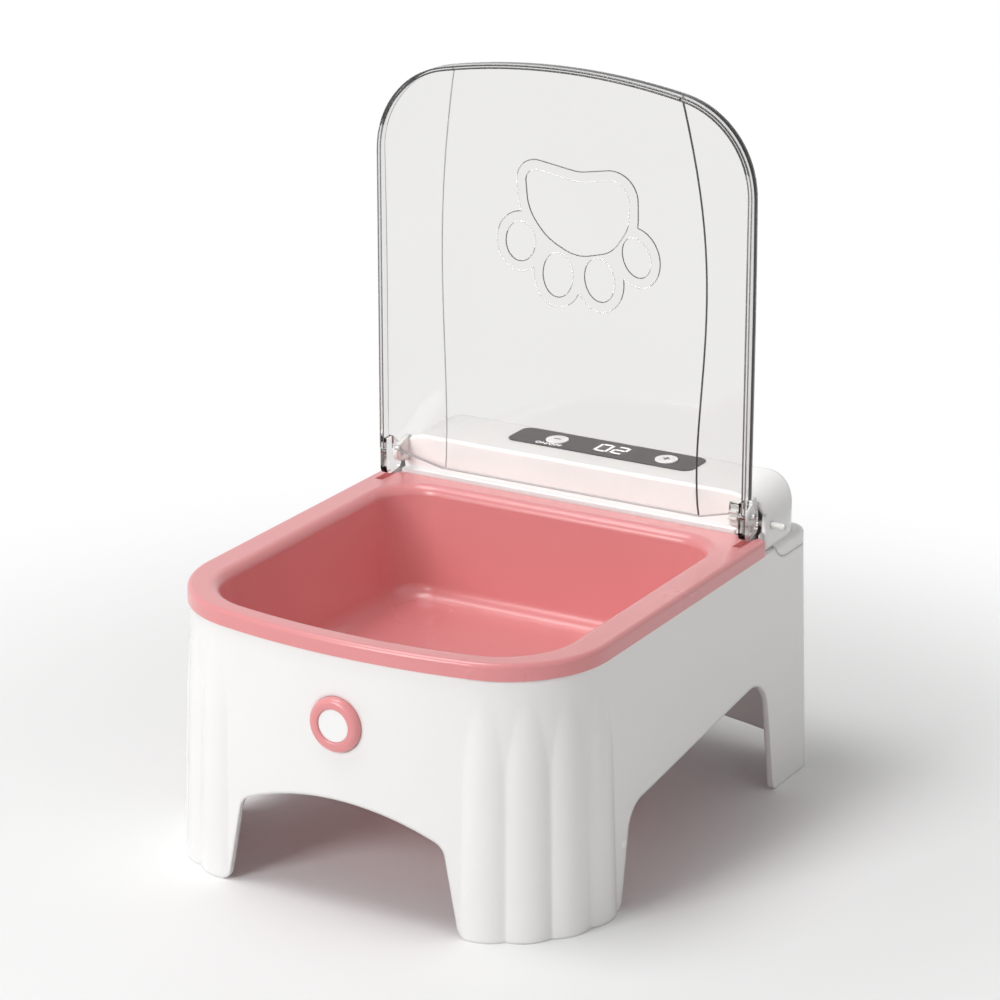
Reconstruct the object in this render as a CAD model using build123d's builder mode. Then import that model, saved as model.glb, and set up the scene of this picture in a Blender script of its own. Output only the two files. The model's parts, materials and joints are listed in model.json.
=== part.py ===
"""Motion sensor pet bowl: a food tray in a legged stand, under a clear lid that a small motor lifts."""

import os
from math import acos, atan2, cos, degrees, pi, radians, sin, sqrt, tan

from build123d import *

# All sizes are in millimetres. The origin is the middle of the footprint, on the floor.
# X runs across the bowl, +Y runs from the animal's side to the rear, and Z is up.

# Food tray
rim_width = 200.0
rim_length = 200.0
rim_bow_radius = 316.0
rim_corner_radius = 48.0
rim_rear_radius = 3.2
rim_top = 123.0
rim_skirt = 7.4
rim_plate = 3.6
rim_edge_round = 2.2
skirt_wall = 2.6
side_band = 16.0
front_band = 11.5
rear_band = 13.5
basin_front_corner = 34.0
basin_rear_corner = 20.0
basin_depth = 52.0
basin_wall = 2.4
basin_taper = 7.0
basin_floor_round = 14.0
mouth_round = 5.0
lug_recess_depth = 2.2

# Stand
rear_depth = 45.2
rim_overhang = 1.2
stand_flare = 2.6
stand_wall = 2.6
stand_rear_corner = 8.0
foot_round = 5.0
flute_count = 4
flute_pitch = 22.3
flute_middle = 39.05
flute_radius = 17.9
flute_crest = 1.95
flute_crest_high = 1.5
flute_high = 76.0
flute_top = 113.0
front_arch_foot = 57.5
front_arch_shoulder = 50.0
front_arch_side = 39.6
front_arch_crown = 51.5
rear_arch_foot = 90.0
rear_arch_side = 10.0
rear_arch_crown = 17.5
bay_floor = 57.0
bay_wall = 2.4
seam_height = 109.0
seam_gap = 0.15
seam_corner = 12.0

# Rear cover
box_inset = 2.8
box_top = 141.0
box_wall = 2.3
box_skin = 2.4
box_side_round = 18.0
box_rear_round = 4.0
box_rear_corner = 18.0
seam_setback = 5.0
box_gap = 3.6
box_rear_inset = 1.8
ledge_front_gap = 0.5
ledge_top = 124.0
shoulder_height = 7.5
shoulder_round = 3.0

# Lid and its hinge. The lid stands open at rest.
lid_margin = 5.5
lid_wall = 2.0
lid_rest_gap = 0.35
lid_top = 326.3
lid_bottom = 128.3
lid_corner_bottom = 137.0
crease_half = 67.0
crease_half_top = 54.5
panel_depth = 13.0
panel_depth_top = 5.5
lip_depth = 6.5
lip_depth_top = 4.0
hinge_inset = 2.8
hinge_height = 10.1
pin_radius = 1.5
fit_gap = 0.05
lug_width = 3.4
lug_lift = 0.6
lug_gap = 0.4
knuckle_radius = 4.2
knuckle_width = 2.4
knuckle_gap = 0.3
paw_relief = 0.6
paw_border = 5.0

# Lid drive
gear_module = 1.0
pressure_angle = 25.0
addendum = 0.8
dedendum = 1.0
backlash = 0.16
lid_gear_teeth = 10
idler_teeth = 19
pinion_teeth = 10
gear_width = 4.0
gear_gap = 0.4
mesh_angle = -29.0
shaft_stub = 6.5
motor_length = 24.0
motor_width = 12.0
motor_thick = 10.0
bracket_plate = 2.0
bracket_boss = 3.0
bracket_foot = 14.0

# Control panel
panel_x = 5.9
film_x = 3.3
panel_setback = 15.3
panel_length = 96.0
panel_width = 20.5
panel_corner = 5.0
panel_film = 0.8
panel_sink = 0.5
button_spread = 57.0
button_radius = 5.4
button_gap = 0.3
button_proud = 0.45
button_flange = 1.5
display_length = 27.5
display_width = 13.5
board_length = 92.0
board_width = 24.0
board_thick = 1.6
board_top = 133.0
switch_size = 6.0
switch_height = 3.2

# Motion sensor on the front
sensor_height = 85.3
ring_radius = 12.2
ring_bore = 7.4
ring_proud = 3.2
ring_seat = 0.9
ring_outer_round = 2.7
ring_inner_round = 0.8
ring_sleeve = 10.0
lens_sink = 0.8
lens_wall = 1.3
sensor_eye_gap = 2.0
sensor_board_radius = 10.5

# Power, in the bay behind the tray
cover_plate = 2.4
cover_gap = 0.4
door_length = 84.0
door_width = 26.0
cell_radius = 9.2
cell_length = 65.0
port_width = 9.2
port_height = 3.4
port_z = 74.0
cable_radius = 1.1
cable_height = 92.0

# Screws
screw_radius = 1.4
screw_head_radius = 2.6
screw_head = 1.8
pilot_gap = 0.02
post_radius = 3.6
post_height = 13.0
column_height = 21.0
column_floor = 6.0

# Places worked out from the sizes
tray_y = -rear_depth / 2
tray_front = tray_y - rim_length / 2
tray_rear = tray_y + rim_length / 2
stand_top = rim_top - rim_skirt
stand_back = tray_rear + rear_depth
box_front = tray_rear + box_gap
box_rear = stand_back - box_rear_inset
box_half_width = rim_width / 2 - box_inset
box_half_inner = box_half_width - box_wall
hinge_y = tray_rear - hinge_inset
hinge_z = rim_top + hinge_height
lid_half = box_half_inner - lug_gap
lid_front = hinge_y - (hinge_z - rim_top - lid_rest_gap)
lug_inner = lid_half - lug_width
lug_bottom = rim_top + lug_lift
knuckle_outer = lug_inner - knuckle_gap
knuckle_inner = knuckle_outer - knuckle_width
gear_outer = knuckle_inner - gear_gap
gear_inner = gear_outer - gear_width
shaft_end = box_half_width + shaft_stub
lid_gear_radius = gear_module * lid_gear_teeth / 2
idler_radius = gear_module * idler_teeth / 2
pinion_radius = gear_module * pinion_teeth / 2
idler_y = hinge_y + (lid_gear_radius + idler_radius) * cos(radians(mesh_angle))
idler_z = hinge_z + (lid_gear_radius + idler_radius) * sin(radians(mesh_angle))
pinion_y = idler_y + (idler_radius + pinion_radius) * cos(radians(mesh_angle))
pinion_z = idler_z + (idler_radius + pinion_radius) * sin(radians(mesh_angle))
panel_y = box_rear - panel_setback
minus_x = panel_x - button_spread / 2
plus_x = panel_x + button_spread / 2
skin_under = box_top - box_skin
bracket_x = gear_inner - 0.5 - bracket_plate
bracket_screw_x = bracket_x - 10.0
bracket_top = skin_under - bracket_boss - 0.1
bracket_middle = (idler_y + pinion_y) / 2 + 4.5
bracket_screw_y = (bracket_middle - 8, bracket_middle + 8)
plate_top = bay_floor + cover_plate


def grow_at(height):
    """How far the stand's outline lies outside the rim's outline at a height."""
    return stand_flare - (stand_flare + rim_overhang) * height / stand_top


def bowed_outline(plane, half, front, rear, bow, front_corner, rear_corner):
    """Outline seen from above: straight sides and rear, a bowed front and rounded corners."""
    with BuildSketch(plane) as outline:
        with Locations((0, (front + rear) / 2)):
            Rectangle(2 * half, rear - front)
        with Locations((0, front + bow)):
            Circle(bow, mode=Mode.INTERSECT)
        fillet(outline.vertices().group_by(Axis.Y)[-1], rear_corner)
        fillet(outline.vertices().group_by(Axis.Y)[0], front_corner)
    return outline.sketch


def stand_outline(height, inset):
    """The stand's outline at a height, drawn in by inset."""
    grow = grow_at(height) - inset
    return bowed_outline(
        Plane.XY.offset(height),
        rim_width / 2 + grow,
        tray_front - grow,
        stand_back + grow,
        rim_bow_radius + grow,
        rim_corner_radius + grow,
        stand_rear_corner + grow,
    )


def at_x(x):
    """Plane across X, with sketch axes along Y and Z."""
    return Plane.YZ.offset(x)


def at_y(y):
    """Plane across Y, with sketch axes along X and Z, and extrusions running to the front."""
    return Plane.XZ.offset(-y)


def save(builder, label):
    """Name a finished piece and write its file."""
    builder.part.label = label
    export_step(builder.part, "parts/" + label + ".step")


os.makedirs("parts", exist_ok=True)

# Stand: shell
corner_x = rim_width / 2 - rim_corner_radius
corner_y = tray_front + rim_bow_radius - sqrt((rim_bow_radius - rim_corner_radius) ** 2 - corner_x**2)
seam_front = box_front + seam_setback


def flute_circle(side, turn, reach, height):
    """One flute's circle round a front corner, with its crest at reach from the corner's centre."""
    angle = radians(turn)
    distance = reach - flute_radius
    with BuildSketch(Plane.XY.offset(height)) as circle:
        with Locations((side * (corner_x + distance * cos(angle)), corner_y - distance * sin(angle))):
            Circle(flute_radius)
    return circle.sketch


def seam_profile(gap):
    """Side view of the space that the rear cover fills, with its rounded lower front corner."""
    low = seam_height + gap
    front = seam_front + gap
    with BuildSketch(at_x(0)) as profile:
        with Locations(((front + stand_back + 20) / 2, (low + box_top + 20) / 2)):
            Rectangle(stand_back + 20 - front, box_top + 20 - low)
        fillet(profile.vertices().group_by(Axis.Y)[0].sort_by(Axis.X)[0], seam_corner)
    return profile.sketch


with BuildPart() as stand:
    loft([stand_outline(0, 0), stand_outline(stand_top, 0)], ruled=True)
    for side in (-1, 1):
        for index in range(flute_count):
            turn = flute_middle + (index - (flute_count - 1) / 2) * flute_pitch
            crests = ((0, flute_crest), (flute_high, flute_crest_high), (flute_top, -0.3))
            loft(
                [
                    flute_circle(side, turn, rim_corner_radius + grow_at(height) + crest, height)
                    for height, crest in crests
                ],
                ruled=True,
            )
    loft(
        [stand_outline(-2, stand_wall), stand_outline(stand_top + 2, stand_wall)],
        ruled=True,
        mode=Mode.SUBTRACT,
    )
    # Front arch between the two front legs
    with BuildSketch(at_y(tray_front + 60)) as front_arch:
        with BuildLine():
            crown = ThreePointArc(
                (-front_arch_shoulder, front_arch_side),
                (0, front_arch_crown),
                (front_arch_shoulder, front_arch_side),
            )
            Polyline(
                crown @ 1,
                (front_arch_foot, 0),
                (front_arch_foot + 3 * foot_round, 0),
                (front_arch_foot + 3 * foot_round, -5),
                (-front_arch_foot - 3 * foot_round, -5),
                (-front_arch_foot - 3 * foot_round, 0),
                (-front_arch_foot, 0),
                crown @ 0,
            )
        make_face()
        levels = front_arch.vertices().group_by(Axis.Y)
        fillet(levels[-1], 8.0)
        on_floor = front_arch.vertices().filter_by(lambda v: abs(v.Y) < 0.01)
        feet = on_floor.filter_by(lambda v: abs(abs(v.X) - front_arch_foot) < 0.01)
        fillet(feet, foot_round)
    extrude(amount=80, mode=Mode.SUBTRACT)
    # Side arches, lower to the front
    with BuildSketch(at_x(-rim_width)):
        with BuildLine():
            FilletPolyline(
                (-61.3 - 3 * foot_round, -5),
                (-61.3 - 3 * foot_round, 0),
                (-61.3, 0),
                (-51.5, 43.1),
                (76.9, 58.9),
                (83.1, 0),
                (83.1 + 3 * foot_round, 0),
                (83.1 + 3 * foot_round, -5),
                radius=(0, foot_round, 14, 16, foot_round, 0),
            )
            Line((83.1 + 3 * foot_round, -5), (-61.3 - 3 * foot_round, -5))
        make_face()
    extrude(amount=2 * rim_width, mode=Mode.SUBTRACT)
    # Low arch under the rear wall
    with BuildSketch(at_y(stand_back + 20)) as rear_arch:
        with BuildLine():
            low_crown = ThreePointArc(
                (-rear_arch_foot + 4, rear_arch_side),
                (0, rear_arch_crown),
                (rear_arch_foot - 4, rear_arch_side),
            )
            Polyline(low_crown @ 1, (rear_arch_foot, -5), (-rear_arch_foot, -5), low_crown @ 0)
        make_face()
        fillet(rear_arch.vertices().group_by(Axis.Y)[-1], foot_round)
    extrude(amount=60, mode=Mode.SUBTRACT)
    # Wall between the tray and the bay for the works
    wall_front = tray_rear - skirt_wall - 0.8
    with BuildSketch(Plane.XY.offset(plate_top)):
        with Locations((0, wall_front + bay_wall / 2)):
            Rectangle(2 * (rim_width / 2 - rim_overhang - 0.6), bay_wall)
    extrude(amount=stand_top - plate_top)
    # Opening for the rear cover
    extrude(seam_profile(0), amount=rim_width, both=True, mode=Mode.SUBTRACT)

cable_inset = stand_wall + cable_radius + 0.3 - grow_at(cable_height)
cable_x = rim_width / 2 - cable_inset
post_x = box_half_inner - post_radius + 1.2
post_y = (box_front + 11.0, box_rear - 21.2)
cover_screw_x = rim_width / 2 - 40.0
cover_screw_y = (wall_front + bay_wall + 2.6, stand_back + grow_at(plate_top) - stand_wall - 2.6)
spot_y = tray_front - grow_at(sensor_height) + ring_seat

with BuildPart() as base_housing:
    add(stand.part)
    # Hollow columns that the rear cover is screwed to from below
    with BuildSketch(Plane.XY.offset(seam_height - column_height)):
        with Locations(*[(side * post_x, y) for side in (-1, 1) for y in post_y]):
            Circle(post_radius + 1.0)
    extrude(amount=column_height - 0.2)
    with BuildSketch(Plane.XY.offset(seam_height - column_height - 1)):
        with Locations(*[(side * post_x, y) for side in (-1, 1) for y in post_y]):
            Circle(screw_head_radius + 0.4)
    extrude(amount=column_height + 1 - column_floor, mode=Mode.SUBTRACT)
    with BuildSketch(Plane.XY.offset(seam_height - column_floor - 1)):
        with Locations(*[(side * post_x, y) for side in (-1, 1) for y in post_y]):
            Circle(screw_radius + 0.25)
    extrude(amount=column_floor + 3, mode=Mode.SUBTRACT)
    # Bosses for the bay's cover plate
    with BuildSketch(Plane.XY.offset(plate_top)):
        with Locations(*[(side * cover_screw_x, y) for side in (-1, 1) for y in cover_screw_y]):
            Circle(3.8)
            Circle(screw_radius + pilot_gap, mode=Mode.SUBTRACT)
    extrude(amount=12)
    # Seat and hole for the sensor's ring, in the front wall
    with BuildSketch(at_y(spot_y)):
        with Locations((0, sensor_height)):
            Circle(ring_radius + 0.15)
    extrude(amount=6, mode=Mode.SUBTRACT)
    with BuildSketch(at_y(spot_y + 6)):
        with Locations((0, sensor_height)):
            Circle(ring_sleeve + 0.15)
    extrude(amount=12, mode=Mode.SUBTRACT)
    # Port for the charging lead, in the rear wall
    with BuildSketch(at_y(stand_back + 10)):
        with Locations((0, port_z)):
            RectangleRounded(port_width, port_height, port_height / 2 - 0.01)
    extrude(amount=20, mode=Mode.SUBTRACT)
    # Hole for the sensor's cable, in the wall before the bay
    with BuildSketch(at_y(wall_front + bay_wall + 1)):
        with Locations((-cable_x, cable_height)):
            Circle(cable_radius + 0.4)
    extrude(amount=bay_wall + 2, mode=Mode.SUBTRACT)
save(base_housing, "base_housing")

# Food tray: rim with a turned-down skirt, round a tapered basin
basin_half = rim_width / 2 - side_band
basin_front = tray_front + front_band
basin_rear = tray_rear - rear_band
basin_floor = rim_top - basin_depth


def basin_outline(height, inset):
    """The basin's outline at a height, drawn in by inset and by its taper."""
    draw_in = inset + basin_taper * (rim_top - height) / basin_depth
    return bowed_outline(
        Plane.XY.offset(height),
        basin_half - draw_in,
        basin_front + draw_in,
        basin_rear - draw_in,
        rim_bow_radius,
        basin_front_corner - draw_in,
        basin_rear_corner - draw_in / 2,
    )


with BuildPart() as basin_space:
    loft([basin_outline(basin_floor, 0), basin_outline(rim_top + 5, 0)], ruled=True)
    fillet(basin_space.faces().sort_by(Axis.Z)[0].edges(), basin_floor_round - 6)

with BuildPart() as basin_outside:
    loft(
        [basin_outline(basin_floor - basin_wall, -basin_wall), basin_outline(rim_top - 1, -basin_wall)],
        ruled=True,
    )
    fillet(basin_outside.faces().sort_by(Axis.Z)[0].edges(), basin_floor_round - 5)

with BuildPart() as bowl:
    rim_sketch = bowed_outline(
        Plane.XY.offset(stand_top),
        rim_width / 2,
        tray_front,
        tray_rear,
        rim_bow_radius,
        rim_corner_radius,
        rim_rear_radius,
    )
    extrude(rim_sketch, amount=rim_skirt)
    fillet(bowl.faces().sort_by(Axis.Z)[-1].edges(), rim_edge_round)
    under_sketch = bowed_outline(
        Plane.XY.offset(stand_top),
        rim_width / 2 - skirt_wall,
        tray_front + skirt_wall,
        tray_rear - skirt_wall,
        rim_bow_radius - skirt_wall,
        rim_corner_radius - skirt_wall,
        rim_rear_radius - skirt_wall,
    )
    extrude(under_sketch, amount=rim_skirt - rim_plate, mode=Mode.SUBTRACT)
    add(basin_outside.part)
    add(basin_space.part, mode=Mode.SUBTRACT)
    fillet(bowl.faces().filter_by(Axis.Z).sort_by(Axis.Z)[-1].inner_wires()[0].edges(), mouth_round)
    # Shallow recesses that the lid's lugs swing through
    with BuildSketch(Plane.XY.offset(rim_top - lug_recess_depth)):
        for side in (-1, 1):
            with Locations((side * (lug_inner + lug_width / 2), tray_rear - 8)):
                Rectangle(lug_width + 1.0, 17)
    extrude(amount=10, mode=Mode.SUBTRACT)
save(bowl, "bowl")

# Rear cover: a rounded box over the bay, with a shoulder that closes the stand's opening
with BuildPart() as cover_outside:
    with BuildSketch(Plane.XY.offset(seam_height)) as box_plan:
        with Locations((0, (box_front + box_rear) / 2)):
            Rectangle(2 * box_half_width, box_rear - box_front)
        fillet(box_plan.vertices().group_by(Axis.Y)[-1], box_rear_corner)
    extrude(amount=box_top - seam_height)
    with BuildSketch(at_y(box_rear + 5)) as box_front_view:
        with Locations((0, (seam_height + box_top) / 2)):
            Rectangle(2 * box_half_width, box_top - seam_height)
        fillet(box_front_view.vertices().group_by(Axis.Y)[-1], box_side_round)
    extrude(amount=box_rear - box_front + 10, mode=Mode.INTERSECT)
    top_edges = cover_outside.faces().filter_by(Axis.Z).sort_by(Axis.Z)[-1].edges()
    fillet(top_edges.filter_by(Axis.X).sort_by(Axis.Y)[-1], box_rear_round)
    fillet(top_edges.filter_by(Axis.X).sort_by(Axis.Y)[0], 1.2)
    # Shoulder, flush with the stand at the seam
    seam_grow = grow_at(seam_height)
    with BuildSketch(Plane.XY.offset(seam_height)) as shoulder_plan:
        shoulder_rear = stand_back + seam_grow
        with Locations((0, (seam_front + shoulder_rear) / 2)):
            Rectangle(rim_width + 2 * seam_grow, shoulder_rear - seam_front)
        fillet(shoulder_plan.vertices().group_by(Axis.Y)[-1], stand_rear_corner + seam_grow)

with BuildPart() as shoulder:
    extrude(shoulder_plan.sketch, amount=shoulder_height)
    fillet(shoulder.faces().sort_by(Axis.Z)[-1].edges(), shoulder_round - 0.4)

with BuildPart() as cover_inside:
    with BuildSketch(Plane.XY.offset(seam_height - 5)) as inner_plan:
        with Locations((0, (box_front + box_rear) / 2)):
            Rectangle(2 * box_half_inner, box_rear - box_front - 2 * box_wall)
        fillet(inner_plan.vertices().group_by(Axis.Y)[-1], box_rear_corner - box_wall)
    extrude(amount=skin_under - seam_height + 5)
    with BuildSketch(at_y(box_rear + 5)) as inner_front_view:
        with Locations((0, (seam_height - 5 + skin_under) / 2)):
            Rectangle(2 * box_half_inner, skin_under - seam_height + 5)
        fillet(inner_front_view.vertices().group_by(Axis.Y)[-1], box_side_round - box_wall)
    extrude(amount=box_rear - box_front + 10, mode=Mode.INTERSECT)

with BuildPart() as seam_block:
    with BuildSketch(Plane.XY.offset(seam_height - 5)):
        with Locations((0, (box_front + stand_back) / 2)):
            Rectangle(3 * rim_width, stand_back - box_front + 20)
    extrude(amount=stand_top + seam_gap - seam_height + 5)
    extrude(seam_profile(seam_gap), amount=2 * rim_width, both=True, mode=Mode.SUBTRACT)

lug_slot_inner = knuckle_outer
with BuildPart() as rear_cover:
    add(cover_outside.part)
    add(shoulder.part)
    # Ledge right behind the tray's rim
    with BuildSketch(Plane.XY.offset(seam_height)):
        ledge_back = box_front + box_wall
        ledge_front = tray_rear + ledge_front_gap
        with Locations((0, (ledge_front + ledge_back) / 2)):
            Rectangle(2 * (rim_width / 2 - rim_overhang - stand_wall - 0.4), ledge_back - ledge_front)
    extrude(amount=ledge_top - seam_height)
    with BuildSketch(Plane.XY.offset(ledge_top)):
        with Locations((0, box_front + box_wall / 2)):
            Rectangle(2 * (lug_slot_inner + lug_width + 2 * lug_gap - 1), box_wall)
    extrude(amount=1.0)
    add(seam_block.part, mode=Mode.SUBTRACT)
    add(cover_inside.part, mode=Mode.SUBTRACT)
    # Knuckles that carry the hinge pins, on the inner side of the lid's lugs
    for side in (-1, 1):
        with BuildSketch(at_x(side * (knuckle_inner + knuckle_width / 2))):
            with Locations((hinge_y, hinge_z)):
                Circle(knuckle_radius)
            with Locations((box_front + box_wall / 2, hinge_z + 0.5)):
                Rectangle(box_wall, 2 * knuckle_radius + 3)
            make_hull()
            with Locations((hinge_y, hinge_z)):
                Circle(pin_radius + fit_gap, mode=Mode.SUBTRACT)
        extrude(amount=knuckle_width / 2, both=True)
    # Slots that the lugs turn in
    for side in (-1, 1):
        with BuildSketch(Plane.XY.offset(119.0)):
            with Locations((side * (lug_slot_inner + box_half_inner) / 2, hinge_y + 5)):
                Rectangle(box_half_inner - lug_slot_inner, 11.4)
        extrude(amount=30, mode=Mode.SUBTRACT)
    # Slot for the idler gear, and the hole for its shaft's end
    with BuildSketch(at_x(gear_inner - 0.5)):
        with Locations((idler_y, idler_z)):
            Circle(idler_radius + addendum + 0.5)
    extrude(amount=gear_width + 0.7, mode=Mode.SUBTRACT)
    with BuildSketch(at_x(box_half_inner - 1)):
        with Locations((idler_y, idler_z)):
            Circle(pin_radius + fit_gap)
    extrude(amount=box_wall + 4, mode=Mode.SUBTRACT)
    # Posts over the stand's columns
    with BuildSketch(Plane.XY.offset(seam_height)):
        with Locations(*[(side * post_x, y) for side in (-1, 1) for y in post_y]):
            Circle(post_radius)
            Circle(screw_radius + pilot_gap, mode=Mode.SUBTRACT)
    extrude(amount=post_height)
    # Seat for the panel film, with openings for the display and the buttons
    with BuildSketch(Plane.XY.offset(box_top - panel_sink)):
        with Locations((film_x, panel_y)):
            RectangleRounded(panel_length + 0.3, panel_width + 0.3, panel_corner + 0.15)
    extrude(amount=5, mode=Mode.SUBTRACT)
    with BuildSketch(Plane.XY.offset(skin_under - 1)):
        with Locations((minus_x, panel_y), (plus_x, panel_y)):
            Circle(button_radius + button_gap)
        with Locations((panel_x, panel_y)):
            Rectangle(display_length + 0.6, display_width + 0.6)
    extrude(amount=6, mode=Mode.SUBTRACT)
    # Bosses that hang the control board under the skin
    with BuildSketch(Plane.XY.offset(board_top)):
        with Locations(*[(panel_x + sx * 41, panel_y + sy * 8.5) for sx in (-1, 1) for sy in (-1, 1)]):
            Circle(2.4)
            Circle(0.82, mode=Mode.SUBTRACT)
    extrude(amount=skin_under + 0.5 - board_top)
    # Bosses for the motor's bracket
    with BuildSketch(Plane.XY.offset(skin_under - bracket_boss)):
        with Locations(*[(bracket_screw_x, y) for y in bracket_screw_y]):
            Circle(2.6)
            Circle(0.82, mode=Mode.SUBTRACT)
    extrude(amount=bracket_boss)
save(rear_cover, "rear_cover")

# Paw outline raised on the lid: the pad's corners, and the toes as (x, z, width, height, turn)
paw_pad_corners = (
    (-23.5, 277.6),
    (4.0, 273.4),
    (28.6, 277.8),
    (28.3, 255.6),
    (19.7, 243.2),
    (2.0, 238.7),
    (-12.8, 245.5),
    (-22.4, 257.6),
)
paw_pad_rounds = (5.5, 22.0, 8.0, 15.0, 14.0, 18.0, 24.0, 22.0)
paw_toes = (
    (-26.7, 242.4, 14.8, 18.4, -10),
    (-7.6, 229.2, 15.0, 20.4, -3),
    (13.6, 229.6, 14.8, 19.8, 9),
    (32.2, 242.6, 13.4, 18.4, 18),
)

# Clear lid: a shallow bent shell with a lip all round, made standing open
lid_edge_radius = rim_bow_radius - lid_margin
lid_stations = (
    (lid_bottom - 8, crease_half, panel_depth, lip_depth),
    (200.0, crease_half, panel_depth, lip_depth),
    (252.0, crease_half, panel_depth - 0.3, lip_depth - 0.3),
    (292.0, (2 * crease_half + crease_half_top) / 3 - 0.5, panel_depth - 3.2, lip_depth - 1.2),
    (lid_top + 6, crease_half_top, panel_depth_top, lip_depth_top),
)


def lid_outline(inset, low):
    """Front view of the standing lid, drawn in by inset, with its lower edge dropped by low."""
    half = lid_half - inset
    top = lid_top - inset
    with BuildSketch(at_y(lid_front)) as outline:
        with BuildLine():
            Polyline(
                (-half, top + 10),
                (-half, lid_corner_bottom - low),
                (-crease_half, lid_bottom - low),
                (crease_half, lid_bottom - low),
                (half, lid_corner_bottom - low),
                (half, top + 10),
                close=True,
            )
        make_face()
        with Locations((0, top - lid_edge_radius + inset)):
            Circle(lid_edge_radius - inset, mode=Mode.INTERSECT)
        fillet(outline.vertices().group_by(Axis.Y)[-1], rim_corner_radius - lid_margin - inset)
    return outline.sketch


def lid_form(inset):
    """Solid between the lid's front plane and its bent outer surface, drawn in by inset."""
    reach = lid_half + 4
    sections = []
    for height, crease, depth, lip in lid_stations:
        slope = (depth - lip) / (lid_half - crease)
        with BuildSketch(Plane.XY.offset(height)) as section:
            with BuildLine():
                Polyline(
                    (-reach, lid_front - 4),
                    (reach, lid_front - 4),
                    (reach, lid_front + lip - 4 * slope - inset),
                    (crease, lid_front + depth - inset),
                    (-crease, lid_front + depth - inset),
                    (-reach, lid_front + lip - 4 * slope - inset),
                    close=True,
                )
            make_face()
        sections.append(section.sketch)
    return sections


with BuildPart() as lid_hollow:
    loft(lid_form(lid_wall))
    extrude(lid_outline(lid_wall, 12), amount=-30, both=True, mode=Mode.INTERSECT)

with BuildSketch() as paw_pad:
    with BuildLine():
        FilletPolyline(*paw_pad_corners, radius=paw_pad_rounds, close=True)
    make_face()

with BuildPart() as paw:
    loft(lid_form(-paw_relief))
    loft(lid_form(lid_wall / 2), mode=Mode.SUBTRACT)
    with BuildSketch(at_y(lid_front + panel_depth + 5)):
        add(offset(paw_pad.sketch, paw_border, mode=Mode.PRIVATE))
        for toe_x, toe_z, toe_width, toe_height, toe_turn in paw_toes:
            with Locations(Location((toe_x, toe_z), toe_turn)):
                Ellipse(toe_width / 2 + paw_border, toe_height / 2 + paw_border)
        for toe_x, toe_z, toe_width, toe_height, toe_turn in paw_toes:
            with Locations(Location((toe_x, toe_z), toe_turn)):
                Ellipse(toe_width / 2, toe_height / 2, mode=Mode.SUBTRACT)
        add(paw_pad.sketch, mode=Mode.SUBTRACT)
    extrude(amount=panel_depth + 5, mode=Mode.INTERSECT)

with BuildPart() as lid:
    loft(lid_form(0))
    extrude(lid_outline(0, 0), amount=-30, mode=Mode.INTERSECT)
    add(lid_hollow.part, mode=Mode.SUBTRACT)
    add(paw.part)
    # Room for the gear and for the knuckles
    with BuildSketch(at_x(gear_inner - 0.5)):
        with Locations((hinge_y, hinge_z)):
            Circle(lid_gear_radius + addendum + 0.5)
    extrude(amount=lug_inner - gear_inner + 0.5, mode=Mode.SUBTRACT)
    with BuildSketch(at_x(-lug_inner)):
        with Locations((hinge_y, hinge_z)):
            Circle(knuckle_radius + 0.6)
    extrude(amount=knuckle_width + 2 * knuckle_gap, mode=Mode.SUBTRACT)
    # Lugs at both lower corners, with the holes for the hinge pins
    for side in (-1, 1):
        with BuildSketch(at_x(side * (lug_inner + lug_width / 2))):
            with BuildLine():
                FilletPolyline(
                    (lid_front + 0.4, lug_bottom),
                    (hinge_y + 3.4, lug_bottom + 1.5),
                    (hinge_y + 3.4, hinge_z + 3.2),
                    (lid_front + lip_depth, lid_corner_bottom + 5),
                    (lid_front + 0.4, lid_corner_bottom + 5),
                    radius=(3.5, 3.2, 3.0, 0.2, 0.2),
                    close=True,
                )
            make_face()
            with Locations((hinge_y, hinge_z)):
                Circle(pin_radius + pilot_gap, mode=Mode.SUBTRACT)
        extrude(amount=lug_width / 2, both=True)
save(lid, "lid")

# Hinge pins, fixed in the lid's lugs and turning in the cover's knuckles
with BuildPart() as hinge_pin_left:
    with BuildSketch(at_x(-lid_half + 0.3)):
        with Locations((hinge_y, hinge_z)):
            Circle(pin_radius)
    extrude(amount=lid_half - 0.3 - knuckle_inner - 0.2)
save(hinge_pin_left, "hinge_pin_left")

with BuildPart() as hinge_pin_right:
    with BuildSketch(at_x(gear_inner)):
        with Locations((hinge_y, hinge_z)):
            Circle(pin_radius)
    extrude(amount=lid_half - 0.3 - gear_inner)
save(hinge_pin_right, "hinge_pin_right")


# Gears of the lid drive
def involute(angle):
    """The involute function of an angle in radians."""
    return tan(angle) - angle


def gear_outline(teeth, turn):
    """Points round a spur gear with involute flanks, one tooth centred at turn degrees."""
    pitch = gear_module * teeth / 2
    base = pitch * cos(radians(pressure_angle))
    root = pitch - dedendum * gear_module
    tip = pitch + addendum * gear_module
    half_tooth = pi / (2 * teeth) - backlash / (2 * pitch) + involute(radians(pressure_angle))
    radii = [root] + [base + (tip - base) * step / 5 for step in range(6)]
    flank = []
    for radius in radii:
        pull = acos(base / radius) if radius > base else 0.0
        flank.append((radius, half_tooth - involute(pull)))
    points = []
    for tooth in range(teeth):
        centre = radians(turn) + 2 * pi * tooth / teeth
        for radius, half in flank:
            points.append((radius * cos(centre - half), radius * sin(centre - half)))
        for radius, half in reversed(flank):
            points.append((radius * cos(centre + half), radius * sin(centre + half)))
    return points


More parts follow.
